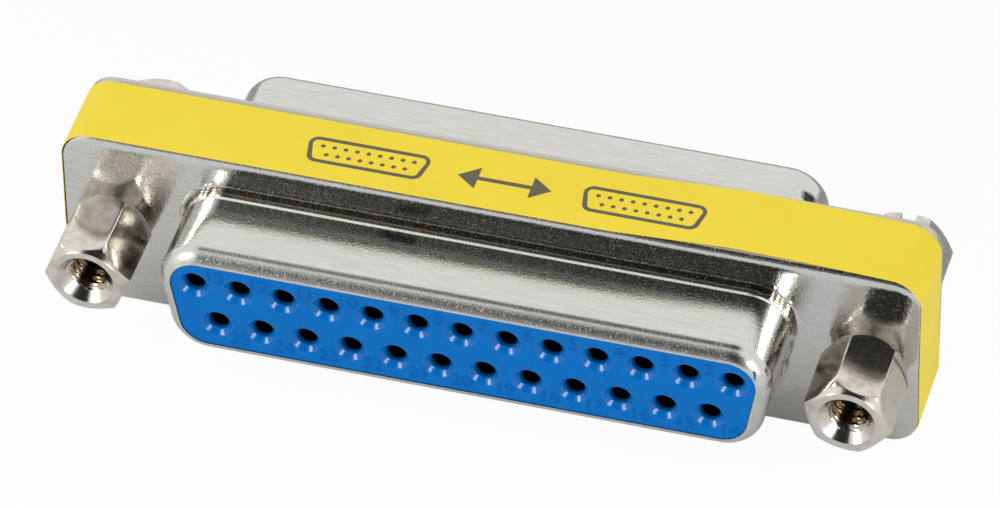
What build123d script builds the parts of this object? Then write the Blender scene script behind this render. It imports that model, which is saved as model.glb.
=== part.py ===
"""A 25-way D-sub gender changer, socket to socket, as the pieces that it comes apart into.

Millimetres. The origin is the middle of the adapter, on the axis of both connectors. +X runs along
the connectors, the front connector faces -Y, and +Z is up, with the front connector's long row on top.
The back connector is the front one turned over about X, so its long row is below.
"""

import math
import os

from build123d import *

# Socket layout
pitch = 2.77
row_gap = 2.84
long_row = 13
short_row = 12

# Drawn steel shell
sheet = 0.45
end_margin = 2.78  # from the outermost socket centre of the long row to the outside of the wall
row_margin = 2.53  # from the centres of a row to the outside of the wall
side_slant = 10.0  # degrees that each short side leans in
shell_corner_r = 2.6
shell_rise = 5.95  # rim in front of the flange
rim_r = 1.1  # outside of the bend at the rim
lip_width = 0.27  # lip past the inside of the wall
root_bevel = 0.3  # inside of the bend between flange and wall

# Flange
flange_margin = 2.45  # above and below the wall
screw_offset = 4.12  # screw axis past the end of the wall
flange_end = 3.08  # flange past the screw axis
flange_corner_r = 1.8
screw_hole_d = 3.05

# Blue insulator
fit_gap = 0.05  # moulding inside the shell, and board inside the frame
face_recess = 0.1  # insulator's face behind the rim
lead_in_d = 1.95
lead_in_depth = 0.52
mouth_d = 1.15
mouth_sides = 12  # flats that stand for each round mouth
cavity_side = 1.75
insulator_flange_t = 1.0
insulator_flange_lap = 1.1  # beyond the shell's wall, all round
solder_room = 0.15  # between the insulator and the board

# Stamped socket contact
contact_width = 0.9
contact_strip = 0.2
contact_grip = 0.88  # between the beams, just under a pin's diameter
contact_setback = 0.15  # tips behind the cavity's end
contact_base = 0.6
contact_slack = 0.03

# Middle of the adapter
frame_depth = 4.7  # between the two flanges
frame_inset = 0.06  # frame inside the flange's outline
frame_passage = 3.2  # square way through for each stud
board_t = 1.2
label_t = 0.12
label_width = 5.2
label_lead = 0.3  # centre line in front of the middle, where it was stuck down first
label_stray = 0.4  # how far it wanders back on the right
label_return = 0.5  # and comes forward again at the right end
label_gap = 0.02  # glue line

# Standoffs and jackscrews, number 4-40
hex_across = 4.76
hex_face_d = 4.4
hex_chamfer = 0.38
thread_major_d = 2.84
thread_minor_d = 2.27
thread_mouth_d = 3.5
standoff_length = 5.7
standoff_turns = (6.0, -13.0)  # degrees, left and right, as they were tightened
stud_grip = 2.2  # stud inside the standoff
stud_slack = 0.02
stud_end_room = 0.2
jack_length = 5.0
jack_hole_depth = 4.2
jack_turns = (39.0, -6.0)
slot_width = 0.8
slot_depth = 0.8

# Worked out from the sizes above
shell_width = (long_row - 1) * pitch + 2 * end_margin
shell_height = row_gap + 2 * row_margin
screw_x = shell_width / 2 + screw_offset
flange_width = 2 * (screw_x + flange_end)
flange_height = shell_height + 2 * flange_margin
flange_back = frame_depth / 2
flange_front = flange_back + sheet
rim = flange_front + shell_rise
face = rim - face_recess
cavity_end = face - lead_in_depth
board_face = board_t / 2
insulator_back = board_face + solder_room


def facing(distance):
    """Sketch plane at this distance in front of the middle, seen from the front, with Z up."""
    return Plane(origin=(0, -distance, 0), x_dir=(1, 0, 0), z_dir=(0, -1, 0))


def forward(profile, start, end):
    """The profile as a prism between two distances in front of the middle."""
    return extrude(facing(start) * profile, end - start)


def turned_over(piece):
    """A front piece as it lies in the back connector."""
    return Rot(180, 0, 0) * piece


def d_profile(inset):
    """The outside of the shell's wall moved inwards by inset, with its long side up."""
    slant = math.radians(side_slant)
    top = shell_height / 2 - inset
    lean = shell_height / 2 * math.tan(slant)
    half_at_middle = shell_width / 2 - lean - inset / math.cos(slant)
    half_top = half_at_middle + top * math.tan(slant)
    half_bottom = half_at_middle - top * math.tan(slant)
    corners = [(-half_top, top), (half_top, top), (half_bottom, -top), (-half_bottom, -top)]
    outline = make_face(Polyline(*corners, close=True))
    return fillet(outline.vertices(), shell_corner_r - inset)


def flange_profile(inset):
    """The flange's outline moved inwards by inset."""
    width = flange_width - 2 * inset
    height = flange_height - 2 * inset
    return RectangleRounded(width, height, flange_corner_r - inset)


def pocket_profile(grow):
    """The insulator's flange, grown all round."""
    width = shell_width + 2 * (insulator_flange_lap + grow)
    height = shell_height + 2 * (insulator_flange_lap + grow)
    return Rectangle(width, height)


def at_screws(diameter):
    """Two circles on the screw axes."""
    return Sketch() + Locations((-screw_x, 0), (screw_x, 0)) * Circle(diameter / 2)


def socket_places():
    """X and Z of the front connector's sockets, in the order of their numbers."""
    top = [((long_row - 1) / 2 - i, 0.5) for i in range(long_row)]
    bottom = [((short_row - 1) / 2 - i, -0.5) for i in range(short_row)]
    return [(across * pitch, up * row_gap) for across, up in top + bottom]


def edges_at(piece, distance):
    """The piece's edges that lie flat at this distance in front of the middle."""
    low, high = -distance - 0.001, -distance + 0.001
    return piece.edges().filter_by_position(Axis.Y, low, high)


def make_shell():
    """Flange and wall drawn from one sheet, with the rim rolled over inwards to a lip."""
    wall = forward(d_profile(0), flange_back, rim)
    wall = fillet(edges_at(wall, rim), rim_r)
    shell = wall + forward(flange_profile(0), flange_back, flange_front)
    shell = chamfer(root_edges(shell, flange_front), root_bevel)
    shell -= forward(d_profile(sheet), flange_back, rim - rim_r)
    shell -= forward(d_profile(sheet + lip_width), flange_back, rim)
    return shell - forward(at_screws(screw_hole_d), flange_back, flange_front)


def root_edges(piece, distance):
    """The edges of the D at one face of the flange, and not the flange's own outline."""
    reach = shell_width / 2 + 0.1
    rise = shell_height / 2 + 0.1
    inner = edges_at(piece, distance).filter_by_position(Axis.X, -reach, reach)
    return inner.filter_by_position(Axis.Z, -rise, rise)


def make_insulator():
    """Moulded block that fills the shell, with a flange behind it and a hole for each contact."""
    block = forward(d_profile(sheet + fit_gap), insulator_back, rim - rim_r - fit_gap)
    block += forward(d_profile(sheet + lip_width + fit_gap), flange_back, face)
    block += forward(pocket_profile(0), flange_back - insulator_flange_t, flange_back)
    hole = make_socket_hole()
    return block - [Pos(x, 0, z) * hole for x, z in socket_places()]


def make_socket_hole():
    """Countersunk mouth and the contact's square cavity behind it."""
    flare = (lead_in_d - mouth_d) / 2 * math.cos(math.pi / mouth_sides)
    mouth = forward(RegularPolygon(lead_in_d / 2, mouth_sides), cavity_end, rim)
    inner_end = mouth.faces().sort_by(Axis.Y)[-1]
    mouth = chamfer(inner_end.edges(), flare, lead_in_depth, reference=inner_end)
    return mouth + forward(Rectangle(cavity_side, cavity_side), insulator_back, cavity_end)


def turned(outline):
    """Round piece about the Y axis, from points of radius and Y."""
    half = make_face(Plane.XY * Polyline(*outline, close=True))
    return revolve(half, Axis.Y)


def make_contact():
    """Fork stamped from strip: a base soldered to the board, and two beams that grip the pin."""
    tip = cavity_end - contact_setback
    root = insulator_back + contact_base
    wide = cavity_side / 2 - contact_slack
    grip = contact_grip / 2
    upper = [(board_face, wide), (tip, grip + contact_strip), (tip, grip), (root, grip)]
    lower = [(y, -z) for y, z in reversed(upper)]
    outline = [(-y, z) for y, z in upper + lower]
    return extrude(Plane.YZ * make_face(Polyline(*outline, close=True)), contact_width / 2, both=True)


def make_frame():
    """Moulded frame between the flanges, open for the insulators and the board."""
    block = forward(flange_profile(frame_inset), -flange_back, flange_back)
    block -= forward(pocket_profile(fit_gap), -flange_back, flange_back)
    passage = forward(Rectangle(frame_passage, frame_passage), -flange_back, flange_back)
    return block - [Pos(x, 0, 0) * passage for x in (-screw_x, screw_x)]


def make_board():
    """Circuit board that the tails of both sets of contacts are soldered to."""
    return forward(pocket_profile(-fit_gap), -board_face, board_face)


def make_label():
    """Band of printed film round the frame and the front flange's edge, not quite straight."""
    reach = flange_front + label_width
    band = forward(flange_profile(-label_gap - label_t), -reach, reach)
    band -= forward(flange_profile(-label_gap), -reach, reach)
    middle = [
        (-flange_width, -label_lead),
        (0.14 * flange_width, -label_lead),
        (0.28 * flange_width, label_stray - label_lead),
        (0.34 * flange_width, label_stray - label_lead),
        (0.5 * flange_width, label_stray - label_lead - label_return),
        (flange_width, label_stray - label_lead - label_return),
    ]
    front_edge = [(x, y - label_width / 2) for x, y in middle]
    back_edge = [(x, y + label_width / 2) for x, y in reversed(middle)]
    strip = make_face(Polyline(*front_edge, *back_edge, close=True))
    return band & extrude(strip, flange_height, both=True)


def hex_bar(length):
    """Hexagonal bar from the origin towards -Y, its far end turned to a cone."""
    corner_r = hex_across / 2 / math.cos(math.radians(30))
    bar = forward(RegularPolygon(hex_across / 2, 6, major_radius=False), 0, length)
    outline = [
        (0, 0),
        (corner_r, 0),
        (corner_r, hex_chamfer - length),
        (hex_face_d / 2, -length),
        (0, -length),
    ]
    return bar & turned(outline)


def make_standoff():
    """Hex standoff on the front flange, tapped right through for a cable's screw and the stud."""
    countersink = (thread_mouth_d - thread_minor_d) / 2
    outline = [
        (0, 0),
        (thread_minor_d / 2, 0),
        (thread_minor_d / 2, countersink - standoff_length),
        (thread_mouth_d / 2, -standoff_length),
        (0, -standoff_length),
    ]
    body = hex_bar(standoff_length) - turned(outline)
    return body - forward(Circle(thread_major_d / 2), 0, stud_grip + stud_end_room)


def make_jackscrew():
    """Hex head with a tapped hole and a slot, and the stud that holds the stack together."""
    head = hex_bar(jack_length)
    head -= forward(Circle(thread_minor_d / 2), jack_length - jack_hole_depth, jack_length)
    head -= forward(Rectangle(slot_width, 2 * hex_across), jack_length - slot_depth, jack_length)
    stud_end = 2 * flange_front + stud_grip
    return head + forward(Circle(thread_major_d / 2 - stud_slack), -stud_end, 0)


def pair(piece, turns):
    """The left and right fastener of one side, each turned as it was left."""
    places = zip((-screw_x, screw_x), turns)
    return [Pos(x, -flange_front, 0) * Rot(0, -turn, 0) * piece for x, turn in places]


def make_parts():
    """Every node of the adapter by name."""
    shell = make_shell()
    insulator = make_insulator()
    contact = make_contact()
    standoffs = pair(make_standoff(), standoff_turns)
    jackscrews = pair(make_jackscrew(), jack_turns)
    parts = {
        "front_shell": shell,
        "back_shell": turned_over(shell),
        "front_insulator": insulator,
        "back_insulator": turned_over(insulator),
        "circuit_board": make_board(),
        "spacer_frame": make_frame(),
        "wrap_label": make_label(),
        "front_standoffs": Compound(children=standoffs),
        "back_jackscrews": Compound(children=[turned_over(screw) for screw in jackscrews]),
    }
    for number, (x, z) in enumerate(socket_places(), 1):
        front = Pos(x, 0, z) * contact
        parts[f"front_contact_{number:02d}"] = front
        parts[f"back_contact_{number:02d}"] = turned_over(front)
    return parts


os.makedirs("parts", exist_ok=True)
for name, piece in make_parts().items():
    export_step(piece, f"parts/{name}.step")
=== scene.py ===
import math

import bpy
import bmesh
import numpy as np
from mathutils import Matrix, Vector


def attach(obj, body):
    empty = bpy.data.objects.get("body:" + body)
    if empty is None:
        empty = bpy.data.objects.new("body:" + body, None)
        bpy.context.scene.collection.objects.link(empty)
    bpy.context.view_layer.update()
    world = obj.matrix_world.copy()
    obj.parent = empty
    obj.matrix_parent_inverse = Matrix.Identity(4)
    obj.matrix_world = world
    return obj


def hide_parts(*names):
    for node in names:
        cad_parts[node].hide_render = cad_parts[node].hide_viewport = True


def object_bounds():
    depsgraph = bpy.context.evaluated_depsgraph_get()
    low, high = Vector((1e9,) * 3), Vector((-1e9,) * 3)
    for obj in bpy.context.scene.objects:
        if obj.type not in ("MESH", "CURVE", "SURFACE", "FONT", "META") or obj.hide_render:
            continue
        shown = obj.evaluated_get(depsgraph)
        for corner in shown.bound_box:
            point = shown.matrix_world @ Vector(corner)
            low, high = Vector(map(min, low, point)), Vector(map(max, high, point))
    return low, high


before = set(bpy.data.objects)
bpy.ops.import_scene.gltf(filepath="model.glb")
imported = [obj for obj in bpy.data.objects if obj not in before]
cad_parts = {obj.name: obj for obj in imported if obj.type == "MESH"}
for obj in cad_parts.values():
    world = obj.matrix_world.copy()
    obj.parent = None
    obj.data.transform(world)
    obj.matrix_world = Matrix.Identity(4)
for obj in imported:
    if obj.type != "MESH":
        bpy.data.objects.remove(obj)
cad_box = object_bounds()

# %% [markdown]
# # A 25-way D-sub gender changer
# Two socket connectors back to back, held together by four hexagonal screws, with a yellow label
# wrapped round the seam. Most of what shows is nickel plate, blue moulding and printed film.
# The solids already stand in the right place. Here the drawn shells, the mouldings, the screws and
# the label are made again as fine surfaces, because a plated bend is judged by its reflections, and
# those need smooth normals that flow from the flat flange into the wall and over the rim.

MM = 0.001
low, high = (np.array(corner) / MM for corner in cad_box)
print("solids from", low.round(2), "to", high.round(2), "mm")

# %% [markdown]
# ## Sizes
# All sizes are millimetres on the real connector. A point is given as X and Z across the connector
# and as a distance forward of the middle, and forward is -Y. The back connector is the front one
# turned over about X, so one recipe serves both.

# %% sizes
PITCH, ROW_GAP = 2.77, 2.84
INSULATOR_BACK = 0.75
WALL_W, WALL_H, WALL_R, SLANT = 38.80, 7.90, 2.60, math.radians(10)
SHEET, RIM_R, LIP = 0.45, 1.10, 0.82
FLANGE_W, FLANGE_H, FLANGE_R = 53.20, 12.80, 1.80
FLANGE_BACK, FLANGE_FRONT, RIM, FACE = 2.35, 2.80, 8.75, 8.65
SCREW_X = 23.52

# %% [markdown]
# ## From points to pieces
# Every new surface is a grid of points worked out with numpy, row after row, so its faces follow from
# the grid's size alone. Patches that share an edge are put together and welded, which closes the skin.

# %% helpers: grids, pieces and the back half
def grid_faces(rows, columns, wrap_rows=False, wrap_columns=False):
    """Quads of a grid whose points are numbered row by row: each joins a point, its right-hand
    neighbour, and the two beyond them in the next row."""
    i = np.arange(rows if wrap_rows else rows - 1)[:, None]
    j = np.arange(columns if wrap_columns else columns - 1)[None, :]
    a = i * columns + j
    b = i * columns + (j + 1) % columns
    c = ((i + 1) % rows) * columns + (j + 1) % columns
    d = ((i + 1) % rows) * columns + j
    return np.stack([a, b, c, d], axis=-1).reshape(-1, 4)


def join(*patches):
    """Several (points, faces) patches as one: the later ones' numbers move up by the points before."""
    points, faces, start = [], [], 0
    for patch_points, patch_faces in patches:
        points.append(patch_points)
        faces.extend([int(corner) + start for corner in face] for face in patch_faces)
        start += len(patch_points)
    return np.concatenate(points), faces


WELD, SLIVER = 2e-7, 1e-7        # metres: points this near become one, and edges this short go


def make_piece(name, points, faces, material, replaces=(), sharp=40, marks=None, second=None):
    """A mesh piece from points in millimetres, welded, facing outwards and smooth-shaded up to a
    crease angle in degrees. Marks are named numbers, one per point, that a material can read. A second
    material, given with the number of the first face it covers, covers the faces from there on."""
    mesh = bpy.data.meshes.new(name)
    mesh.from_pydata((np.asarray(points) * MM).tolist(), [], [list(face) for face in faces])
    for mark, values in (marks or {}).items():
        mesh.attributes.new(mark, "FLOAT", "POINT").data.foreach_set("value", values)
    if second:
        covered = np.arange(len(mesh.polygons)) >= second[1]
        mesh.polygons.foreach_set("material_index", covered.astype(np.int32))
    tidy = bmesh.new()
    tidy.from_mesh(mesh)
    bmesh.ops.remove_doubles(tidy, verts=tidy.verts, dist=WELD)
    bmesh.ops.dissolve_degenerate(tidy, edges=tidy.edges, dist=SLIVER)
    bmesh.ops.recalc_face_normals(tidy, faces=tidy.faces)
    tidy.to_mesh(mesh)
    tidy.free()
    mesh.shade_smooth()
    mesh.set_sharp_from_angle(angle=math.radians(sharp))
    mesh.materials.append(material)
    if second:
        mesh.materials.append(second[0])
    piece = bpy.data.objects.new(name, mesh)
    bpy.context.scene.collection.objects.link(piece)
    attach(piece, "root")
    if replaces:
        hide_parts(*replaces)
    print(f"{name}: {len(mesh.vertices)} points, {len(mesh.polygons)} faces")
    return piece


def turned_over(points):
    """The same points on the back connector: half a turn about X changes the sign of Y and Z."""
    return np.asarray(points) * (1, -1, -1)


print("a grid of 3 by 4 points has", len(grid_faces(3, 4)), "faces, and",
      len(grid_faces(3, 4, True, True)), "if it closes both ways")

# %% [markdown]
# ## Materials
# Every finish is one Principled shader and a few nodes. All patterns read Object coordinates turned to
# millimetres, so a noise of scale 1 / 0.13 has blobs of 0.13 mm on the real connector. One small
# function adds a node, sets it and links it, so a finish reads from its grain to its shader.

# %% helpers: colours and nodes
NOISE, RANGE, MIX, MATH = "ShaderNodeTexNoise", "ShaderNodeMapRange", "ShaderNodeMix", "ShaderNodeMath"
BUMP, ATTRIBUTE, SEPARATE = "ShaderNodeBump", "ShaderNodeAttribute", "ShaderNodeSeparateXYZ"
COLOURS = {"data_type": "RGBA"}        # a Mix node's setting for colours: inputs 0, 6 and 7, output 2
MULTIPLY_ADD = {"operation": "MULTIPLY_ADD"}


def colour(code):
    """sRGB hex to linear, with the usual two-part curve."""
    parts = [int(code[i:i + 2], 16) / 255 for i in (1, 3, 5)]
    return tuple(c / 12.92 if c <= 0.04045 else ((c + 0.055) / 1.055) ** 2.4 for c in parts) + (1.0,)


def feed(material, node, **inputs):
    """Sets inputs of a node. Each is a number, a colour, or the output of another node. Its name has an
    underscore for a space, or is n and the input's number where several share a name."""
    for key, value in inputs.items():
        socket = node.inputs[int(key[1:]) if key[1:].isdigit() else key.replace("_", " ")]
        if isinstance(value, bpy.types.NodeSocket):
            material.node_tree.links.new(value, socket)
        else:
            socket.default_value = value


def add_node(material, kind, settings=None, out=0, **inputs):
    """Adds a node with its settings and inputs, and gives back one of its outputs."""
    node = material.node_tree.nodes.new(kind)
    for key, value in (settings or {}).items():
        setattr(node, key, value)
    feed(material, node, **inputs)
    return node.outputs[out] if len(node.outputs) else node


def new_material(name, **shader_inputs):
    """A material with one Principled shader, and its Object coordinates in millimetres."""
    material = bpy.data.materials.new(name)
    material.use_nodes = True
    material.node_tree.nodes.clear()
    surface = add_node(material, "ShaderNodeBsdfPrincipled", **shader_inputs)
    add_node(material, "ShaderNodeOutputMaterial", Surface=surface)
    metres = add_node(material, "ShaderNodeTexCoord", out="Object")
    place = add_node(material, "ShaderNodeMapping", Vector=metres, Scale=(1 / MM, 1 / MM, 1 / MM))
    return material, surface.node, place


print("a mid grey, #808080, is", round(colour("#808080")[0], 3), "in linear light")

# %% [markdown]
# ### Nickel plate on drawn steel
# The shells are steel drawn in a press and then plated. Plating follows every tiny dimple that drawing leaves, so
# to the eye the metal is bright, but a reflection breaks up into grains at its edges. A bump of 0.13 mm dimples
# makes those grains: finer ones, under two pixels wide, wouldn't show. Specks of dust and blisters scatter light,
# which shows on a dark reflection only, so they go into the roughness. The sheet's own points say where it is
# sheared, where a painted highlight lightens the bevel, where painted shade darkens the crease, and where it is
# stretched to a coarser grain on the rim.

# %% nickel plate on drawn steel
DIMPLE_WIDE, DIMPLE_DEEP = 0.13, 0.008
nickel, nickel_shader, place = new_material("nickel_plate_on_drawn_steel", Metallic=1.0)
dimples = add_node(nickel, NOISE, Vector=place, Scale=1 / DIMPLE_WIDE, Detail=2.0, Roughness=0.6)
dented = add_node(nickel, BUMP, Height=dimples, Distance=DIMPLE_DEEP * MM, Strength=1.0)
sheared, bevel_highlight, crease_shade, stretched = (add_node(nickel, ATTRIBUTE, {"attribute_name": name}, "Fac")
                                        for name in ("sheared", "bevel_highlight", "crease_shade", "stretched"))
# Drawing leaves faint duller streaks, 0.25 mm wide and eight times as long.
drawn = add_node(nickel, "ShaderNodeMapping", Vector=place, Scale=(0.12, 1.0, 1.0))
streaks = add_node(nickel, NOISE, Vector=drawn, Scale=1 / 0.25, Detail=4.0)
streaks = add_node(nickel, RANGE, Value=streaks, From_Min=0.35, From_Max=0.70)
plate = add_node(nickel, MIX, COLOURS, 2, n0=streaks, n6=colour("#CCCBC6"), n7=colour("#C2C1BB"))
# The bevel's mark paints a highlight, the crease's mark paints shade, and the sheared edge takes a duller tint.
for mark, tint in ((bevel_highlight, "#DFE0D4"), (crease_shade, "#9C968D"), (sheared, "#C0BEB6")):
    plate = add_node(nickel, MIX, COLOURS, 2, n0=mark, n6=plate, n7=colour(tint))
print("dimples in the nickel:", DIMPLE_WIDE, "mm wide and", DIMPLE_DEEP, "mm deep")

# %% dark spots and specks in the nickel
# Dark spots are painted on the shells: a long one on the front wall, three balls in a row, and a round one on the
# rear wall's corner, which is a painted dark reflection. A ball is the distance to its centre plus a noise, so
# its edge is ragged. Each has its centre and radius in millimetres, and how dark it is.
DARK_SPOTS = [((-5.9, -3.95, 3.95), 0.52, 0.62), ((-5.2, -4.05, 3.95), 0.60, 0.70),
        ((-4.5, -4.15, 3.95), 0.52, 0.62), ((17.5, 6.3, 3.3), 0.66, 1.0)]
ragged = add_node(nickel, NOISE, Vector=place, Scale=1 / 0.4, Detail=3.0)
for centre, size, strength in DARK_SPOTS:
    away = add_node(nickel, "ShaderNodeVectorMath", {"operation": "DISTANCE"}, "Value", n0=place, n1=centre)
    away = add_node(nickel, MATH, MULTIPLY_ADD, n0=ragged, n1=0.8 * size, n2=away)
    dark_spot = add_node(nickel, RANGE, Value=away, From_Min=0.9 * size, From_Max=1.4 * size,
                   To_Min=strength, To_Max=0.0)
    # Each spot mixes the plate towards near black: painted darkness.
    plate = add_node(nickel, MIX, COLOURS, 2, n0=dark_spot, n6=plate, n7=colour("#33322F"))
specks = add_node(nickel, NOISE, Vector=place, Scale=1 / 0.12, Detail=1.0)
specks = add_node(nickel, RANGE, Value=specks, From_Min=0.60, From_Max=0.74, To_Min=0.0, To_Max=0.24)
smear = add_node(nickel, NOISE, Vector=place, Scale=1 / 0.5, Detail=3.0)
smear = add_node(nickel, RANGE, Value=smear, From_Min=0.3, From_Max=0.7, To_Min=0.10, To_Max=0.14)
rough = add_node(nickel, MATH, {"operation": "ADD"}, n0=smear, n1=specks)
for mark, rougher in ((sheared, 0.3), (stretched, 0.10)):
    rough = add_node(nickel, MATH, MULTIPLY_ADD, n0=mark, n1=rougher, n2=rough)
feed(nickel, nickel_shader, Base_Color=plate, Roughness=rough, Normal=dented)
print("dark spots on the shells:", len(DARK_SPOTS), "balls")

# %% [markdown]
# ### Bright nickel on turned bar
# Standoffs and jackscrews are cut from hexagonal bar and plated brighter and warmer than the shells, so
# their flats mirror the floor and the flange with hardly any grain. Plating hardly reaches down a tapped
# hole and oil stays there, so the thread goes brown with depth, which the points' own mark gives.

# %% bright nickel on turned bar
bright_nickel, shader, place = new_material("bright_nickel_on_turned_bar", Metallic=1.0)
scratches = add_node(bright_nickel, NOISE, Vector=place, Scale=1 / 0.12, Detail=3.0)
scratched = add_node(bright_nickel, BUMP, Height=scratches, Distance=0.004 * MM, Strength=1.0)
patches = add_node(bright_nickel, NOISE, Vector=place, Scale=1 / 0.8, Detail=4.0)
patches = add_node(bright_nickel, RANGE, Value=patches, From_Min=0.45, From_Max=0.75)
plate = add_node(bright_nickel, MIX, COLOURS, 2, n0=patches, n6=colour("#CFC9C1"), n7=colour("#B9B1A5"))
bore = add_node(bright_nickel, ATTRIBUTE, {"attribute_name": "bore"}, "Fac")
plate = add_node(bright_nickel, MIX, COLOURS, 2, n0=bore, n6=plate, n7=colour("#66543F"))
rough = add_node(bright_nickel, NOISE, Vector=place, Scale=1 / 0.4)
rough = add_node(bright_nickel, RANGE, Value=rough, From_Min=0.3, From_Max=0.7, To_Min=0.11, To_Max=0.18)
feed(bright_nickel, shader, Base_Color=plate, Roughness=rough, Normal=scratched)
print("bright nickel nodes:", len(bright_nickel.node_tree.nodes))

# %% [markdown]
# ### Blue polyester
# Both mouldings are one glass-filled polyester, with three finishes: the face, the holes and the pin numbers. The
# holes' finish makes the two bright bars in each countersink, and the numbers' blue is a touch darker with
# painted shade.

# %% blue polyester
BLUE_IOR = 1.52
# The mould's face is sanded, so the plastic looks matt and even, with next to no shine.
blue, shader, place = new_material("blue_glass_filled_polyester", Roughness=0.35, IOR=BLUE_IOR,
                                   Specular_IOR_Level=0.08)
grain = add_node(blue, NOISE, Vector=place, Scale=1 / 0.12)
cloud = add_node(blue, NOISE, Vector=place, Scale=1 / 1.2, Detail=3.0)
cloud = add_node(blue, RANGE, Value=cloud, From_Min=0.35, From_Max=0.7)
feed(blue, shader, Normal=add_node(blue, BUMP, Height=grain, Distance=0.003 * MM, Strength=1.0),
     Base_Color=add_node(blue, MIX, COLOURS, 2, n0=cloud, n6=colour("#0066B2"), n7=colour("#0062AB")))

# The core pins that form the holes are polished, so there the same plastic mirrors the lamps. Hardly any
# light reaches the narrow part, so the hole goes from blue to nearly black between these depths.
LIT_DEPTH, DARK_DEPTH = 0.36, 0.85
cored, shader, place = new_material("blue_polyester_polished_by_core_pins", Roughness=0.12, IOR=BLUE_IOR,
                                    Specular_IOR_Level=0.28)
ripple = add_node(cored, NOISE, Vector=place, Scale=1 / 0.6, Detail=1.0)
forward = add_node(cored, SEPARATE, out="Y", Vector=place)
forward = add_node(cored, MATH, {"operation": "ABSOLUTE"}, n0=forward)
lit = add_node(cored, RANGE, Value=forward, From_Min=FACE - DARK_DEPTH, From_Max=FACE - LIT_DEPTH)
feed(cored, shader, Normal=add_node(cored, BUMP, Height=ripple, Distance=0.001 * MM, Strength=1.0),
     Base_Color=add_node(cored, MIX, COLOURS, 2, n0=lit, n6=colour("#000E1C"), n7=colour("#0063AD")))

# The numbers come from an engraving, which is left as cut, so they look duller; their blue is a touch darker with
# painted shade.
moulded_sign, shader, place = new_material("blue_polyester_numbers_with_painted_shade", Roughness=0.45, IOR=BLUE_IOR,
                                           Specular_IOR_Level=0.08)
cloud = add_node(moulded_sign, NOISE, Vector=place, Scale=1 / 0.3)
feed(moulded_sign, shader,
     Base_Color=add_node(moulded_sign, MIX, COLOURS, 2, n0=cloud, n6=colour("#005BA2"), n7=colour("#0060A9")))
print("the holes are dark from", DARK_DEPTH, "mm deep")

# %% [markdown]
# ### The label: film, glue and ink
# The label is a sheet with two sides, so it takes two materials on one piece. The ink is a third, on
# a piece of its own, because its edge is too sharp for a pattern.

# %% film, glue and ink
# Polyester film printed all over looks even, with a faint cloudiness and a satin shine.
film, shader, place = new_material("yellow_printed_polyester_film", Roughness=0.45, IOR=1.5,
                                   Specular_IOR_Level=0.3)
orange_peel = add_node(film, NOISE, Vector=place, Scale=1 / 0.3)
cloud = add_node(film, NOISE, Vector=place, Scale=1 / 2.5, Detail=3.0)
cloud = add_node(film, RANGE, Value=cloud, From_Min=0.3, From_Max=0.75)
feed(film, shader, Normal=add_node(film, BUMP, Height=orange_peel, Distance=0.003 * MM, Strength=1.0),
     Base_Color=add_node(film, MIX, COLOURS, 2, n0=cloud, n6=colour("#E2CB2F"), n7=colour("#DEC62A")))

# The glue on its inner side is grey, and shows only as a thin line at the label's edges.
glue_side, shader, place = new_material("grey_adhesive_under_film", Roughness=0.6)
cloud = add_node(glue_side, NOISE, Vector=place, Scale=1 / 0.5)
feed(glue_side, shader,
     Base_Color=add_node(glue_side, MIX, COLOURS, 2, n0=cloud, n6=colour("#6F6C60"), n7=colour("#646157")))

# Screen ink is a thin matt coat, a little mottled where the mesh laid down less of it.
ink, shader, place = new_material("grey_screen_ink", Roughness=0.5)
mottle = add_node(ink, NOISE, Vector=place, Scale=1 / 0.2, Detail=3.0)
feed(ink, shader,
     Base_Color=add_node(ink, MIX, COLOURS, 2, n0=mottle, n6=colour("#4A4733"), n7=colour("#5A563E")))
print("the label's materials:", film.name, glue_side.name, ink.name)

# %% [markdown]
# ### The parts inside
# The contacts, the board and the frame hardly show, so their finishes are short.

# %% brass, laminate and nylon
# Rolled brass strip has a fine grain. The springs' ends sit in the dark of the holes, and look it.
SHADE_FROM, SHADE_FULL = 6.2, 7.0
spring_brass, shader, place = new_material("spring_brass_strip", Metallic=1.0, Roughness=0.3)
grain = add_node(spring_brass, NOISE, Vector=place, Scale=1 / 0.1)
cloud = add_node(spring_brass, NOISE, Vector=place, Scale=1 / 0.6)
bare = add_node(spring_brass, MIX, COLOURS, 2, n0=cloud, n6=colour("#C9A45C"), n7=colour("#B08A45"))
forward = add_node(spring_brass, SEPARATE, out="Y", Vector=place)
forward = add_node(spring_brass, MATH, {"operation": "ABSOLUTE"}, n0=forward)
shaded = add_node(spring_brass, RANGE, Value=forward, From_Min=SHADE_FROM, From_Max=SHADE_FULL)
feed(spring_brass, shader, Normal=add_node(spring_brass, BUMP, Height=grain, Distance=0.002 * MM, Strength=1.0),
     Base_Color=add_node(spring_brass, MIX, COLOURS, 2, n0=shaded, n6=bare, n7=colour("#14110C")))

# Pressed glass cloth and resin: a green sheet in which the weave is just felt.
laminate, shader, place = new_material("green_glass_laminate", Roughness=0.4)
weave = add_node(laminate, NOISE, Vector=place, Scale=1 / 0.4)
cloud = add_node(laminate, NOISE, Vector=place, Scale=1 / 0.5)
feed(laminate, shader, Normal=add_node(laminate, BUMP, Height=weave, Distance=0.004 * MM, Strength=1.0),
     Base_Color=add_node(laminate, MIX, COLOURS, 2, n0=cloud, n6=colour("#2C5E3A"), n7=colour("#244F31")))

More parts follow.
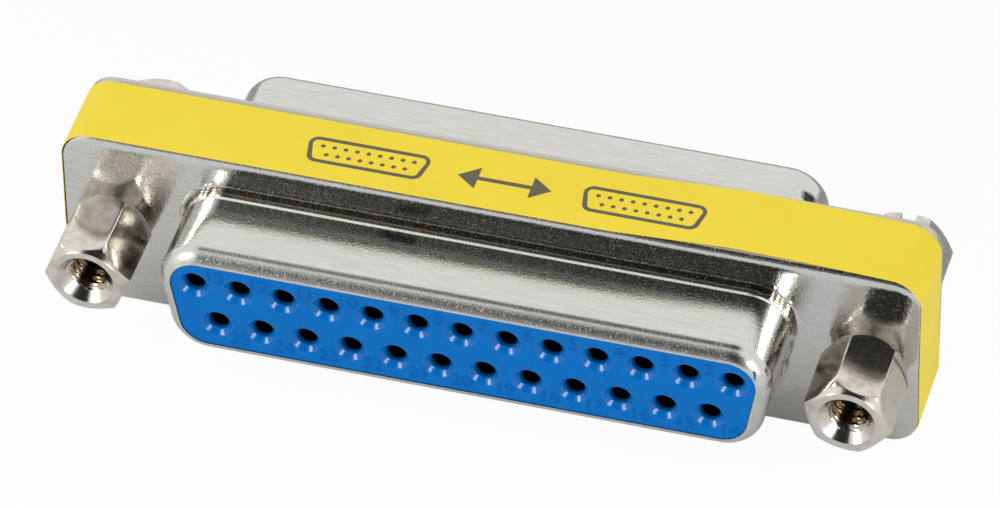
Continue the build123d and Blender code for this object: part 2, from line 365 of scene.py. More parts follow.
# Moulded nylon with a lightly textured skin, near black and softly matt.
frame_plastic, shader, place = new_material("black_moulded_nylon", Roughness=0.5)
grain = add_node(frame_plastic, NOISE, Vector=place, Scale=1 / 0.2)
cloud = add_node(frame_plastic, NOISE, Vector=place, Scale=1 / 1.0)
feed(frame_plastic, shader, Normal=add_node(frame_plastic, BUMP, Height=grain, Distance=0.005 * MM, Strength=1.0),
     Base_Color=add_node(frame_plastic, MIX, COLOURS, 2, n0=cloud, n6=colour("#2A2A2A"), n7=colour("#222222")))
print("materials:", len(bpy.data.materials))

# %% [markdown]
# ## The D outline
# Every moulding and every bend of the shell follows the same D. Its corners are arcs about fixed
# centres, so a curve that lies further in or out shares the outline's normals: a ring is the
# outline plus an offset times the normal. That is what makes the shell one sweep.


# %% outlines with rounded corners
def rounded_outline(corners, radius, edge_steps, arc_steps=44):
    """Points and outward normals round a shape whose corners, given anticlockwise, are rounded to
    a radius. An arc's centre lies inside its corner, along the mean of the two edges' normals."""
    corners = np.asarray(corners, float)
    ends = []
    for before, corner, after in zip(np.roll(corners, 1, axis=0), corners, np.roll(corners, -1, axis=0)):
        into = (corner - before) / np.linalg.norm(corner - before)
        out = (after - corner) / np.linalg.norm(after - corner)
        n_in, n_out = np.array((into[1], -into[0])), np.array((out[1], -out[0]))
        middle = (n_in + n_out) / np.linalg.norm(n_in + n_out)
        ends.append((corner - middle * radius / (middle @ n_in), n_in, n_out))
    points, normals = [], []
    for k, (centre, n_in, n_out) in enumerate(ends):
        start = math.atan2(n_in[1], n_in[0])
        sweep = (math.atan2(n_out[1], n_out[0]) - start) % (2 * math.pi)
        angle = start + sweep * np.linspace(0, 1, arc_steps, endpoint=False)
        normal = np.stack([np.cos(angle), np.sin(angle)], axis=1)
        following = ends[(k + 1) % len(ends)][0]
        along = np.linspace(0, 1, edge_steps[k], endpoint=False)[:, None]
        points += [centre + radius * normal, centre + radius * n_out + along * (following - centre)]
        normals += [normal, np.repeat(n_out[None, :], edge_steps[k], axis=0)]
    return np.concatenate(points), np.concatenate(normals)


half_top, lean = WALL_W / 2, WALL_H * math.tan(SLANT)
d_corners = [(-half_top, WALL_H / 2), (-half_top + lean, -WALL_H / 2),
             (half_top - lean, -WALL_H / 2), (half_top, WALL_H / 2)]
OUTLINE, NORMAL = rounded_outline(d_corners, WALL_R, (30, 120, 30, 130))
print("outline of", len(OUTLINE), "points,", OUTLINE.min(axis=0).round(2), OUTLINE.max(axis=0).round(2))


def ring(offset, forward):
    """The outline moved out by an offset, at a distance forward of the middle."""
    flat = OUTLINE + NORMAL * np.broadcast_to(offset, (len(OUTLINE),))[:, None]
    return np.stack([flat[:, 0], -np.broadcast_to(forward, (len(OUTLINE),)), flat[:, 1]], axis=1)


# %% reach of the flange
def flange_reach(inset):
    """How far each normal runs before it meets the flange's rounded rectangle, moved in by inset.
    The rectangle's signed distance is the length of what sticks out past the corner centres, minus
    the corner radius, and halving the run forty times finds where it is zero."""
    near, far = np.zeros(len(OUTLINE)), np.full(len(OUTLINE), 40.0)
    half = np.array((FLANGE_W / 2 - FLANGE_R, FLANGE_H / 2 - FLANGE_R))
    for _ in range(40):
        middle = (near + far) / 2
        past = np.abs(OUTLINE + NORMAL * middle[:, None]) - half
        distance = (np.hypot(*np.maximum(past, 0).T) + np.minimum(past.max(axis=1), 0)) - (FLANGE_R - inset)
        near, far = np.where(distance < 0, middle, near), np.where(distance < 0, far, middle)
    return (near + far) / 2


reach = flange_reach(0)
print("flange reaches", reach.min().round(2), "to", reach.max().round(2), "mm past the wall")

# %% [markdown]
# ## The shells
# A shell is one sheet: flange, a tight bend into the wall, and a rim rolled inwards over the blue
# moulding. Following the sheet's section once round, out on the front and back on the rear, gives a
# closed skin of even thickness.


# %% shell section
def arc(centre, radius, start, end, steps):
    """Offset and distance along an arc, angles in degrees from outwards towards the front."""
    angle = np.radians(np.linspace(start, end, steps))
    return [(centre[0] + radius * math.cos(a), centre[1] + radius * math.sin(a)) for a in angle]


# From the flat flange in: offset from the wall, and distance in front of the flange. A low ridge that the die
# pressed, then a crease, the collar, and the bevel at the punch's edge, which carries a painted highlight.
BEND = [(0.46, 0.0), (0.42, 0.003), (0.38, 0.015), (0.355, 0.024), (0.33, 0.028), (0.28, 0.030), (0.18, 0.030),
        (0.09, 0.030)]
COLLAR, COLLAR_END, BEVEL_END = 0.08, 0.60, 0.75
BACK_BEND_R = 0.90

rim_centre = (-RIM_R, RIM - RIM_R)
back_centre = (BACK_BEND_R - SHEET, FLANGE_BACK + BACK_BEND_R)
rim_turn = math.degrees(math.acos((RIM_R - LIP) / RIM_R))
inner_turn = math.degrees(math.acos((RIM_R - LIP) / (RIM_R - SHEET)))
bend = [(offset, FLANGE_FRONT + d) for offset, d in BEND]
collar = [(COLLAR, FLANGE_FRONT + d) for d in np.linspace(BEND[-1][1] + 0.01, COLLAR_END, 7)]
bevel = [(COLLAR * (1 - share), FLANGE_FRONT + COLLAR_END + (BEVEL_END - COLLAR_END) * share)
         for share in (0.25, 0.5, 0.75, 1.0)]
wall = [(0.0, d) for d in np.linspace(FLANGE_FRONT + BEVEL_END, RIM - RIM_R, 16)[1:-1]]
wall_section = bend + collar + bevel + wall
wall_section += arc(rim_centre, RIM_R, 0, rim_turn, 20)
wall_section += [(-LIP, RIM - 0.2), (-LIP, RIM - 0.4)]
wall_section += arc(rim_centre, RIM_R - SHEET, inner_turn, 0, 8)
wall_section += arc(back_centre, BACK_BEND_R, 180, 270, 10)
print("rings in the wall's section:", len(wall_section))

# %% pucker
# The punch leaves the metal puckered where it had to bend and shrink at once, at the D's ends. The
# outline's length so far, s, sets two waves that grow from the corners towards the ends. Each has its
# height and length in millimetres, and where it starts in radians.
WAVES = ((0.05, 1.53, 0.0), (0.03, 0.83, 1.0))
PUCKER_X, PUCKER_GROWS = 15.8, 1.6
s = np.cumsum(np.linalg.norm(np.roll(OUTLINE, -1, axis=0) - OUTLINE, axis=1))
towards_end = np.clip((np.abs(OUTLINE[:, 0]) - PUCKER_X) / PUCKER_GROWS, 0, 1)
pucker = towards_end * sum(height * np.sin(2 * math.pi * s / length + start) for height, length, start in WAVES)
print("pucker from", pucker.min().round(3), "to", pucker.max().round(3), "mm")


# %% rings of a shell
ROLL_LEAST, ROLL_Z, ROLL_GROWS = 0.15, 4.8, 1.5


def shell_points(roll_wide, roll_deep):
    """Rings of the sheet's section: the sheared edge, the corner that the shear rolled over, a quarter
    of an ellipse, the flat front, the bends and wall, then the flat rear. The roll is full on the long
    edge that was sheared last, at the top, and small elsewhere."""
    rings = []
    edge_z = (OUTLINE + NORMAL * flange_reach(0)[:, None])[:, 1]
    full = ROLL_LEAST + (1 - ROLL_LEAST) * np.clip((edge_z - ROLL_Z) / ROLL_GROWS, 0, 1)
    for turn in np.radians(np.linspace(0, 90, 10)):
        inset = roll_wide * full * (1 - math.cos(turn))
        rings.append(ring(flange_reach(inset), FLANGE_FRONT - roll_deep * full * (1 - math.sin(turn))))
    reach = flange_reach(roll_wide * full)
    start = BEND[0][0]
    for share in np.linspace(0, 1, 14)[1:-1]:
        rings.append(ring(reach + (start - reach) * share, FLANGE_FRONT))
    puckered = range(len(bend) - 3, len(bend) + len(collar))       # the end of the bend, and the collar
    first_bevel = len(rings) + len(bend) + len(collar)
    for k, (offset, forward) in enumerate(wall_section):
        rings.append(ring(offset + pucker if k in puckered else offset, forward))
    end = wall_section[-1][0]
    for share in np.linspace(0, 1, 6)[1:-1]:
        rings.append(ring(end + (reach - end) * share, FLANGE_BACK))
    for inset, rise in ((0.05, 0.0), (0.015, 0.015), (0.0, 0.05)):
        rings.append(ring(flange_reach(inset), FLANGE_BACK + rise))
    return np.concatenate(rings), len(rings), first_bevel


# %% shells
FRONT_ROLL, BACK_ROLL = (0.85, 0.37), (0.35, 0.14)        # how wide and how deep the shear rolled the edge
back_points, _, _ = shell_points(*BACK_ROLL)
points, count, first_bevel = shell_points(*FRONT_ROLL)
faces = grid_faces(count, len(OUTLINE), wrap_rows=True, wrap_columns=True)
# The marks, by ring: the edge's first and last two are sheared, and the bevel's first three carry a painted
# highlight. Painted shade lies in the crease and on five rings of the collar, and the rim is stretched from its
# eighth ring on.
row = np.arange(count)
rim_grain = first_bevel + len(bevel) + len(wall) + 7
shares = {"sheared": (row < 2) | (row > count - 3),
          "bevel_highlight": (row >= first_bevel) & (row < first_bevel + 3),
          "crease_shade": (row >= first_bevel - 9) & (row < first_bevel - 2),
          "stretched": (row >= rim_grain) & (row < rim_grain + 13)}
marks = {mark: np.repeat(np.where(rows, 1.0, 0.0), len(OUTLINE)) for mark, rows in shares.items()}
make_piece("front_shell_drawn", points, faces, nickel, ["front_shell"], sharp=24, marks=marks)
make_piece("back_shell_drawn", turned_over(back_points), faces, nickel, ["back_shell"], sharp=24,
           marks=marks)

# %% [markdown]
# ## The blue mouldings
# The face is flat with twenty-five round mouths, each a countersink that guides the pin into a narrow
# hole. A flat curve with holes fills into clean faces, and each hole is a turned surface that starts on
# the same circle, so the skin has no gaps.

# %% socket places
socket_x = np.concatenate([(6 - np.arange(13)), (5.5 - np.arange(12))]) * PITCH
socket_z = np.concatenate([np.full(13, ROW_GAP / 2), np.full(12, -ROW_GAP / 2)])
MOUTH_STEPS = 40
hole_angle = np.linspace(0, 2 * math.pi, MOUTH_STEPS, endpoint=False)
hole_circle = np.stack([np.cos(hole_angle), np.sin(hole_angle)], axis=1)
print("sockets:", len(socket_x), "from", socket_x.min(), "to", socket_x.max(), "mm")


# %% helpers: flat shapes with holes
def filled(loops):
    """Flat points and faces between loops of points: the outermost is filled, what lies inside it is
    a hole, what lies inside that is filled, and so on. A 2D curve does the filling."""
    curve = bpy.data.curves.new("loops", "CURVE")
    curve.dimensions, curve.fill_mode = "2D", "BOTH"
    for loop in loops:
        spline = curve.splines.new("POLY")
        spline.points.add(len(loop) - 1)
        flat = np.column_stack([loop, np.zeros(len(loop)), np.ones(len(loop))])
        spline.points.foreach_set("co", flat.ravel())
        spline.use_cyclic_u = True
    holder = bpy.data.objects.new("loops", curve)
    mesh = bpy.data.meshes.new_from_object(holder)
    flat = np.zeros(len(mesh.vertices) * 3)
    mesh.vertices.foreach_get("co", flat)
    faces = [tuple(polygon.vertices) for polygon in mesh.polygons]
    bpy.data.objects.remove(holder)
    bpy.data.meshes.remove(mesh)
    return flat.reshape(-1, 3)[:, :2], faces


def standing(flat, forward):
    """Flat points stood up to face the front, at a distance forward of the middle."""
    return np.column_stack([flat[:, 0], np.full(len(flat), -forward), flat[:, 1]])


# %% insulator
# Radius and distance forward: a rounded mouth, a 45 degree countersink, the narrow part, the cavity.
HOLE_SECTION = [(1.00, FACE), (0.98, FACE - 0.004), (0.96, FACE - 0.015), (0.945, FACE - 0.025),
                (0.925, FACE - 0.045), (0.685, FACE - 0.285), (0.665, FACE - 0.31), (0.64, FACE - 0.35),
                (0.63, FACE - 0.42), (0.63, FACE - 0.90), (0.98, FACE - 0.92), (0.98, INSULATOR_BACK)]
FACE_INSET, SIDE_INSET, EDGE_DROP = 0.86, 0.84, 0.04


def insulator_patches():
    """Face, rear and side of one moulding, then its holes."""
    inner, edge = ((OUTLINE - NORMAL * inset)[::2] for inset in (FACE_INSET, SIDE_INSET))
    places = np.column_stack([socket_x, socket_z])
    mouths = [hole_circle * HOLE_SECTION[0][0] + place for place in places]
    rears = [hole_circle * HOLE_SECTION[-1][0] + place for place in places]
    patches = []
    for loops, forward in (([inner] + mouths, FACE), ([edge] + rears, INSULATOR_BACK)):
        flat, faces = filled(loops)
        patches.append((standing(flat, forward), faces))
    side = np.concatenate([standing(inner, FACE), standing(edge, FACE - EDGE_DROP),
                           standing(edge, INSULATOR_BACK)])
    patches.append((side, grid_faces(3, len(inner), wrap_columns=True)))
    radius, depth = np.array(HOLE_SECTION).T
    tube = np.stack([radius[:, None] * hole_circle[None, :, 0], np.repeat(-depth[:, None], MOUTH_STEPS, axis=1),
                     radius[:, None] * hole_circle[None, :, 1]], axis=-1).reshape(-1, 3)
    for x, z in places:
        patches.append((tube + (x, 0, z), grid_faces(len(HOLE_SECTION), MOUTH_STEPS, wrap_columns=True)))
    return patches


patches = insulator_patches()
points, faces = join(*patches)
holes_from = sum(len(patch_faces) for _, patch_faces in patches[:3])
for name, skin in (("front", points), ("back", turned_over(points))):
    make_piece(name + "_insulator_moulded", skin, faces, blue, [name + "_insulator"], sharp=50,
               second=(cored, holes_from))

# %% [markdown]
# ## Pin numbers
# The mould is engraved, which leaves a small raised number beside every hole, outside the rows. They are text
# turned to mesh, very thin, and show by their edges and by their blue, darkened with painted shade.


# %% pin numbers
DIGIT_TALL, DIGIT_RAISED, DIGIT_THINNED = 0.95, 0.03, 0.006
DIGIT_SHARE = 0.7        # a digit's height as a share of its font's size
NUMBER_ASIDE, NUMBER_OUT = 1.38, 0.9


def number_patch(number, x, z):
    """A number's solid, centred at X and Z and standing proud of the face."""
    text = bpy.data.curves.new("number", "FONT")
    text.body, text.size = str(number), DIGIT_TALL / DIGIT_SHARE
    text.extrude, text.offset = DIGIT_RAISED, -DIGIT_THINNED
    text.resolution_u = 4
    holder = bpy.data.objects.new("number", text)
    mesh = bpy.data.meshes.new_from_object(holder)
    flat = np.zeros(len(mesh.vertices) * 3)
    mesh.vertices.foreach_get("co", flat)
    flat = flat.reshape(-1, 3)
    faces = [tuple(polygon.vertices) for polygon in mesh.polygons]
    bpy.data.objects.remove(holder)
    bpy.data.meshes.remove(mesh)
    middle = (flat.min(axis=0) + flat.max(axis=0)) / 2
    return np.column_stack([flat[:, 0] - middle[0] + x, -FACE - flat[:, 2], flat[:, 1] - middle[1] + z]), faces


numbers = [number_patch(n + 1, x + NUMBER_ASIDE, z + math.copysign(NUMBER_OUT, z))
           for n, (x, z) in enumerate(zip(socket_x, socket_z))]
points, faces = join(*numbers)
make_piece("front_pin_numbers", points, faces, moulded_sign, sharp=30)
make_piece("back_pin_numbers", turned_over(points), faces, moulded_sign, sharp=30)

# %% [markdown]
# ## Standoffs and jackscrews
# Both are turned from hexagonal bar, so a cone takes the corners off each end, and its edge makes a
# curve on every flat. The radius is the smaller of the hexagon's and the cone's, and the rows of points
# follow the line where they meet. The thread is a true helix: the radius rises and falls once a pitch,
# and a turn about the axis moves it by one pitch.

# %% hexagonal bar
ACROSS, EDGE_R = 4.76, 0.10
edge_centre = (ACROSS / 2 - EDGE_R) / math.cos(math.radians(30))
edge_span = math.atan2(EDGE_R / 2, edge_centre + EDGE_R * math.cos(math.radians(30)))
sector = np.concatenate([edge_span * np.linspace(-1, 1, 8)[:-1],
                         np.linspace(edge_span, math.radians(60) - edge_span, 14)[:-1]])
BAR_ANGLE = (np.arange(6)[:, None] * math.radians(60) + sector[None, :]).ravel()
off_edge = (BAR_ANGLE + math.radians(30)) % math.radians(60) - math.radians(30)
off_flat = BAR_ANGLE % math.radians(60) - math.radians(30)
# On a rounded edge the radius reaches the far side of the edge's own small circle, and on a flat it is
# half the width across flats over the cosine of the angle from the flat's middle.
half_chord = np.sqrt(np.maximum(EDGE_R ** 2 - (edge_centre * np.sin(off_edge)) ** 2, 0))
HEX_R = np.where(np.abs(off_edge) < edge_span, edge_centre * np.cos(off_edge) + half_chord,
                 ACROSS / 2 / np.cos(off_flat))
print("hexagon's radius from", HEX_R.min().round(2), "to", HEX_R.max().round(2), "mm")

# %% outside of a bar
RING_R, RING_SLOPE = 2.20, 0.69        # the cone at the outer end, and the one at the flange
BASE_R, BASE_SLOPE = 2.01, 1.49
ROUNDING = 0.02


def bar_rows(length):
    """Rows of radius and distance over the outside of a bar, from its outer face to its inner one. A
    cone's drop is its slope times how far the hexagon stands out past the cone's small end."""
    drop, rise = (HEX_R - RING_R) * RING_SLOPE, (HEX_R - BASE_R) * BASE_SLOPE
    flat_r, still, top = np.ones_like(HEX_R), np.zeros_like(HEX_R), length - ROUNDING
    rows = [((RING_R - 0.04) * flat_r, length + still), ((RING_R - 0.01) * flat_r, length - 0.005 + still)]
    rows += [(RING_R + (HEX_R - RING_R) * share, top - drop * share) for share in (0.04, 0.35, 0.65, 0.92)]
    rows += [(HEX_R, top - drop - 0.05)]
    rows += [(HEX_R, rise + 0.03 + (top - drop - rise - 0.08) * share) for share in np.linspace(1, 0, 7)[1:]]
    rows += [(BASE_R + (HEX_R - BASE_R) * share, rise * share) for share in (0.96, 0.66, 0.33, 0.0)]
    return rows


def turned_grid(rows):
    """Points of rows of radius and distance, about the axis."""
    radius = np.array([row[0] for row in rows])
    forward = np.array([np.broadcast_to(row[1], radius[0].shape) for row in rows])
    return np.stack([radius * np.cos(BAR_ANGLE), -forward, radius * np.sin(BAR_ANGLE)], axis=-1).reshape(-1, 3)


def placed(points, side, turn):
    """Turned clockwise, seen from the front, and moved to a screw's axis on the front flange."""
    c, s = math.cos(math.radians(turn)), math.sin(math.radians(turn))
    x, y, z = points.T
    return np.column_stack([x * c + z * s + side * SCREW_X, y - FLANGE_FRONT, z * c - x * s])


# %% thread
THREAD_PITCH, THREAD_MINOR, THREAD_MAJOR = 0.635, 1.135, 1.42


def thread_radius(angle, along, minor, major):
    """Radius of a thread: a triangle wave of the distance along the axis less the turn made, cut flat
    at crest and root."""
    phase = (along / THREAD_PITCH - angle / (2 * math.pi)) % 1
    wave = np.clip(1.5 * np.abs(2 * phase - 1) - 0.25, 0, 1)
    return minor + (major - minor) * wave


# %% standoffs
STANDOFF, MOUTH_R = 5.70, 1.75
BROWN_DEPTH, BROWN_GROWS = 0.55, 0.7        # how deep the thread starts to go brown, and over how far
LEFT_TURN, RIGHT_TURN = -6, 13


def standoff():
    """Outside of the bar, then the tapped hole from the flange to its countersunk mouth, and how brown
    each point is."""
    top = STANDOFF - ROUNDING
    rows = [(np.full_like(HEX_R, MOUTH_R + ROUNDING), STANDOFF)] + bar_rows(STANDOFF)
    browns = [0.0] * len(rows)
    for along in np.linspace(0, top, 110):
        wall = thread_radius(BAR_ANGLE, along, THREAD_MINOR, THREAD_MAJOR)
        rows.append((np.maximum(wall, MOUTH_R - (top - along)), along))
        browns.append(min(max((STANDOFF - along - BROWN_DEPTH) / BROWN_GROWS, 0.0), 1.0))
    faces = grid_faces(len(rows), len(BAR_ANGLE), wrap_rows=True, wrap_columns=True)
    return turned_grid(rows), faces, np.repeat(browns, len(BAR_ANGLE))


body, faces, brown = standoff()
points, faces = join((placed(body, -1, LEFT_TURN), faces), (placed(body, 1, RIGHT_TURN), faces))
make_piece("front_standoffs_turned", points, faces, bright_nickel, ["front_standoffs"], sharp=32,
           marks={"bore": np.tile(brown, 2)})

# %% jackscrews
HEAD, STUD, BORE = 5.00, 7.80, 4.20
HEAD_TURNS = (72, 2)
STUD_SLACK, TIP_R = 0.03, 1.0
AXIS_R = 1e-4        # a ring so small that welding makes it a point


def jackscrew():
    """Blind tapped hole, outside of the head, and the threaded stud behind it."""
    bore_floor = HEAD - BORE
    rows = [(np.full_like(HEX_R, AXIS_R), bore_floor)]
    for along in np.linspace(bore_floor, HEAD, 72):
        wall = thread_radius(BAR_ANGLE, along, THREAD_MINOR, THREAD_MAJOR)
        rows.append((np.maximum(wall, THREAD_MAJOR - (HEAD - along)), along))
    rows += bar_rows(HEAD)
    for along in np.linspace(0, -STUD, 150):
        wall = thread_radius(BAR_ANGLE, along, THREAD_MINOR - STUD_SLACK, THREAD_MAJOR - STUD_SLACK)
        rows.append((np.minimum(wall, TIP_R + STUD + along), along))
    rows.append((np.full_like(HEX_R, AXIS_R), -STUD))
    return turned_grid(rows), grid_faces(len(rows), len(BAR_ANGLE), wrap_columns=True)


body, faces = jackscrew()
points, faces = join(*[(turned_over(placed(body, side, turn)), faces)
                       for side, turn in zip((-1, 1), HEAD_TURNS)])
jackscrews = make_piece("back_jackscrews_turned", points, faces, bright_nickel, ["back_jackscrews"],
                        sharp=32)


# %% jackscrew slots
SLOT_WIDE, SLOT_DEEP, SLOT_REACH = 0.96, 0.80, 4.0


def cut(piece, corners_low, corners_high, turn, centre):
    """Takes a box, turned about Y, out of a piece."""
    xs, ys, zs = zip(corners_low, corners_high)
    x, y, z = np.array([(x, y, z) for x in xs for y in ys for z in zs], float).T
    c, s = math.cos(math.radians(turn)), math.sin(math.radians(turn))
    points = np.column_stack([x * c + z * s, y, z * c - x * s]) + centre
    faces = [(0, 1, 3, 2), (4, 6, 7, 5), (0, 4, 5, 1), (2, 3, 7, 6), (0, 2, 6, 4), (1, 5, 7, 3)]
    mesh = bpy.data.meshes.new("cutter")
    mesh.from_pydata((points * MM).tolist(), [], faces)
    cutter = bpy.data.objects.new("cutter", mesh)
    bpy.context.scene.collection.objects.link(cutter)
    step = piece.modifiers.new("cut", "BOOLEAN")
    step.operation, step.object, step.solver = "DIFFERENCE", cutter, "EXACT"
    bpy.context.view_layer.update()
    finished = bpy.data.meshes.new_from_object(piece.evaluated_get(bpy.context.evaluated_depsgraph_get()))
    piece.modifiers.clear()
    piece.data = finished
    bpy.data.objects.remove(cutter)
    bpy.data.meshes.remove(mesh)
    finished.set_sharp_from_angle(angle=math.radians(32))


head_end = FLANGE_FRONT + HEAD
for side, turn in zip((-1, 1), HEAD_TURNS):
    cut(jackscrews, (-SLOT_WIDE / 2, head_end - SLOT_DEEP, -SLOT_REACH),
        (SLOT_WIDE / 2, head_end + 1, SLOT_REACH), -turn, (side * SCREW_X, 0, 0))
print("jackscrews after their slots:", len(jackscrews.data.polygons), "faces")

# %% [markdown]
# ## The label
# A strip of yellow polyester film, printed and stuck round the seam, over the edges of both flanges. It
# was laid on a little crooked, so its two edges wander together. It is swept round the flange's
# outline, and closed on itself as a thin band.

# %% label
flange_corners = [(-FLANGE_W / 2, FLANGE_H / 2), (-FLANGE_W / 2, -FLANGE_H / 2),
                  (FLANGE_W / 2, -FLANGE_H / 2), (FLANGE_W / 2, FLANGE_H / 2)]
around, outward = rounded_outline(flange_corners, FLANGE_R, (24, 140, 24, 140), arc_steps=24)
GLUE, FILM, LABEL_W, SET_BACK = 0.02, 0.05, 5.2, 0.08
# Its middle line in Y: by X, as it wanders along the top, and further back underneath.
middle_line = np.interp(around[:, 0], [-26.6, 7.4, 14.9, 18.1, 22.5, 24.8, 26.6],
                        [-0.32, -0.32, 0.10, 0.04, -0.10, -0.22, -0.40])
middle_line += np.interp(around[:, 1], [-6.2, -1.0], [0.45, 0.0])


def band_ring(lift, y):
    """The flange's outline moved out by a lift, each point at its own Y."""
    flat = around + outward * lift
    return np.column_stack([flat[:, 0], y, flat[:, 1]])


front_edge, back_edge = middle_line - LABEL_W / 2 + SET_BACK, middle_line + LABEL_W / 2
outer = [band_ring(GLUE + FILM, front_edge + (back_edge - front_edge) * share)
         for share in np.linspace(0.002, 0.998, 13)]
rows = [band_ring(GLUE, front_edge), band_ring(GLUE + FILM - 0.01, front_edge)] + outer
rows += [band_ring(GLUE + FILM - 0.01, back_edge), band_ring(GLUE, back_edge)]
points = np.concatenate(rows)
faces = grid_faces(len(rows), len(around), wrap_rows=True, wrap_columns=True)
make_piece("wrap_label_film", points, faces, film, ["wrap_label"], sharp=35,
           second=(glue_side, len(faces) - len(around)))

# %% [markdown]
# ## The print
# The print on the top of the label is a plain sign for what the part does: two sockets and an arrow
# between them, in the dark grey ink of the real print. It is a slab a few microns thick.


# %% outlines of the sign
SIGN_W, SIGN_H, SIGN_R, LINE_W, DOT_R = 7.8, 2.25, 0.62, 0.28, 0.15
SIGNS_X, SIGN_Y = (-8.1, 9.0), -0.40


def d_sign(centre, inset):
    """A small D outline, long side towards the back."""
    half, lean = SIGN_W / 2 - inset, SIGN_H * math.tan(SLANT)
    high = SIGN_H / 2 - inset
    corners = [(-half, high), (-half + lean, -high), (half - lean, -high), (half, high)]
    loop, _ = rounded_outline(corners, SIGN_R - inset, (1, 1, 1, 1), arc_steps=10)
    return loop + centre


def dots(centre, wide, count, y):
    """A row of dots for a row of sockets."""
    circle = hole_circle[::3] * DOT_R
    return [circle + (centre[0] + (i - (count - 1) / 2) * wide / count, centre[1] + y) for i in range(count)]


loops = []
for x in SIGNS_X:
    centre = (x, SIGN_Y)
    loops += [d_sign(centre, 0), d_sign(centre, LINE_W)]
    loops += dots(centre, 6.4, 9, 0.36) + dots(centre, 5.6, 8, -0.36)
half_shaft, head_long, head_wide, tip = 0.16, 1.25, 0.95, 2.9
neck = tip - head_long
arrow = [(-tip, 0), (-neck, -head_wide), (-neck, -half_shaft), (neck, -half_shaft), (neck, -head_wide),
         (tip, 0), (neck, head_wide), (neck, half_shaft), (-neck, half_shaft), (-neck, head_wide)]
loops.append(np.array(arrow) + (sum(SIGNS_X) / 2, SIGN_Y))
print("outlines in the sign:", len(loops))

# %% print
flat, sheet_faces = filled(loops)
top_z = FLANGE_H / 2 + GLUE + FILM
ink_bottom, ink_top = top_z - 0.002, top_z + 0.004
patches = [(np.column_stack([flat, np.full(len(flat), z)]), sheet_faces) for z in (ink_top, ink_bottom)]
for loop in loops:
    side = np.concatenate([np.column_stack([loop, np.full(len(loop), z)]) for z in (ink_bottom, ink_top)])
    patches.append((side, grid_faces(2, len(loop), wrap_columns=True)))
points, faces = join(*patches)
make_piece("printed_sign", points, faces, ink, sharp=30)

# %% [markdown]
# ## Camera
# The photograph was taken from a little to the right and well above, with a long lens. The places of
# the holes and screws in it gave the camera's place, its lens, and its right, down and ahead.

# %% camera
camera = bpy.data.objects.new("camera", bpy.data.cameras.new("camera"))
bpy.context.scene.collection.objects.link(camera)
camera.data.sensor_width, camera.data.lens = 36.0, 277.96
right = Vector((0.96240144, 0.27141085, -0.01093729))
down = Vector((0.17612847, -0.65417863, -0.73554679))
ahead = Vector((-0.20679032, 0.70596492, -0.67738563))
facing = Matrix((right, -down, -ahead)).transposed().to_4x4()
stand_point = Vector((96.156, -328.334, 315.282)) * MM
camera.matrix_world = Matrix.Translation(stand_point) @ facing
camera.data.clip_start, camera.data.clip_end = 0.01, 20.0
bpy.context.scene.camera = camera
print("camera stands", round(stand_point.length / MM), "mm from the middle")

# %% [markdown]
# ## Floor
# A sheet of white paper. To the camera it is pure white, as in the photograph, but the metal has to mirror real
# paper, so only camera rays see the white. Behind the part the sheet darkens to grey, a painted shade, which the
# right flats of the bars and the rear heads mirror.

# %% floor
GREY_BY, GLARE, REACH = 28.0, 0.95, 3000.0
paper, shader, place = new_material("white_paper_sweep", Roughness=0.8)
cloud = add_node(paper, NOISE, Vector=place, Scale=1 / 40.0)
sheet = add_node(paper, MIX, COLOURS, 2, n0=cloud, n6=colour("#DDE0E1"), n7=colour("#E1E4E5"))
# Painted shade: the paper's colour greys towards the back, fully grey GREY_BY millimetres behind the middle.
behind = add_node(paper, SEPARATE, out="Y", Vector=place)
behind = add_node(paper, RANGE, Value=behind, From_Min=0.0, From_Max=GREY_BY)
feed(paper, shader, Base_Color=add_node(paper, MIX, COLOURS, 2, n0=behind, n6=sheet, n7=colour("#9EA2A2")))
white = add_node(paper, "ShaderNodeEmission", Color=colour("#FFFFFF"), Strength=1.0)
seen = add_node(paper, "ShaderNodeLightPath", out="Is Camera Ray")
seen = add_node(paper, MATH, {"operation": "MULTIPLY"}, n0=seen, n1=GLARE)
matt = shader.outputs["BSDF"]
paper_output = matt.links[0].to_node
feed(paper, paper_output, Surface=add_node(paper, "ShaderNodeMixShader", n0=seen, n1=matt, n2=white))
corners = [(x * REACH * MM, y * REACH * MM, low[2] * MM) for x, y in ((-1, -1), (1, -1), (1, 1), (-1, 1))]
floor = bpy.data.meshes.new("floor")
floor.from_pydata(corners, [], [(0, 1, 2, 3)])
floor.materials.append(paper)
floor = bpy.data.objects.new("floor", floor)
bpy.context.scene.collection.objects.link(floor)
print("floor at", low[2].round(2), "mm")

# %% [markdown]
# ## Lamps and room
# Two softboxes stand in front, left and right. Each countersink of the mouldings mirrors both as a
# bright bar, and the bars' places gave the lamps' directions. The rest is a white room that is darker
# in front and overhead, which the flange, the walls and the rim mirror as their dark bands.


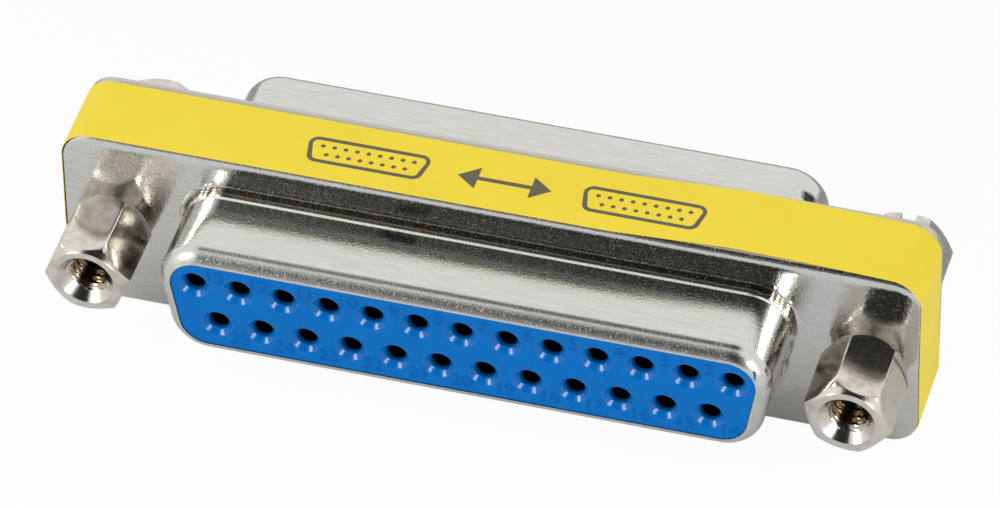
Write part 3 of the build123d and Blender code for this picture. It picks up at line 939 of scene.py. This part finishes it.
# %% lamps
def softbox(name, direction, distance, width, height, power):
    """A rectangular light that faces the origin from a direction, sizes in millimetres."""
    lamp = bpy.data.lights.new(name, "AREA")
    lamp.shape, lamp.size, lamp.size_y, lamp.energy = "RECTANGLE", width * MM, height * MM, power
    holder = bpy.data.objects.new(name, lamp)
    spot = Vector(direction).normalized() * distance * MM
    holder.location = spot
    holder.rotation_mode = "QUATERNION"
    holder.rotation_quaternion = (-spot).to_track_quat("-Z", "Y")
    holder.visible_camera = False
    bpy.context.scene.collection.objects.link(holder)


softbox("left", (-0.68, -0.55, 0.486), distance=500, width=150, height=150, power=1.0)
softbox("right", (0.72, -0.62, 0.31), distance=500, width=130, height=150, power=0.8)
print("lamps:", len(bpy.data.lights))

# %% room
BRIGHT = 1.12
# Each dark place is a direction, the cosines of the angles where it starts and where it is full, and
# its brightness. The dot product of two directions is the cosine of the angle between them.
DARK_PLACES = [((0.08, -0.80, 0.59), 0.885, 0.925, 0.03), ((0.05, -0.98, 0.2), 0.90, 0.96, 0.16),
               ((0.0, -0.55, 0.83), 0.93, 0.975, 0.22), ((0.0, 0.15, 0.989), 0.91, 0.985, 0.10)]
room = bpy.data.worlds.new("studio")
room.use_nodes = True
direction = add_node(room, "ShaderNodeTexCoord", out="Generated")
strength = BRIGHT
for towards, starts, full, level in DARK_PLACES:
    cosine = add_node(room, "ShaderNodeVectorMath", {"operation": "DOT_PRODUCT"}, "Value", n0=direction,
                      n1=Vector(towards).normalized())
    here = add_node(room, RANGE, Value=cosine, From_Min=starts, From_Max=full, To_Min=BRIGHT, To_Max=level)
    strength = add_node(room, MATH, {"operation": "MINIMUM"}, n0=here, n1=strength)
seen = add_node(room, "ShaderNodeLightPath", out="Is Camera Ray")
strength = add_node(room, MATH, {"operation": "MAXIMUM"}, n0=strength, n1=seen)
feed(room, room.node_tree.nodes["Background"], Strength=strength, Color=colour("#FFFFFF"))
bpy.context.scene.world = room
bpy.context.scene.view_settings.view_transform = "Standard"
print("room of", len(room.node_tree.nodes), "nodes")

# %% [markdown]
# ## Finishes on the solids that stay
# The contacts, the board and the frame are already the right shape, so they keep their solids and only
# take a finish.

# %% finishes on the solids that stay
finishes = {"circuit_board": laminate, "spacer_frame": frame_plastic}
for name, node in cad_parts.items():
    finish = finishes.get(name, spring_brass if "contact" in name else None)
    if finish is None:
        continue
    node.data.materials.clear()
    node.data.materials.append(finish)
print("solids that stay:", sum("contact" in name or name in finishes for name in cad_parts))
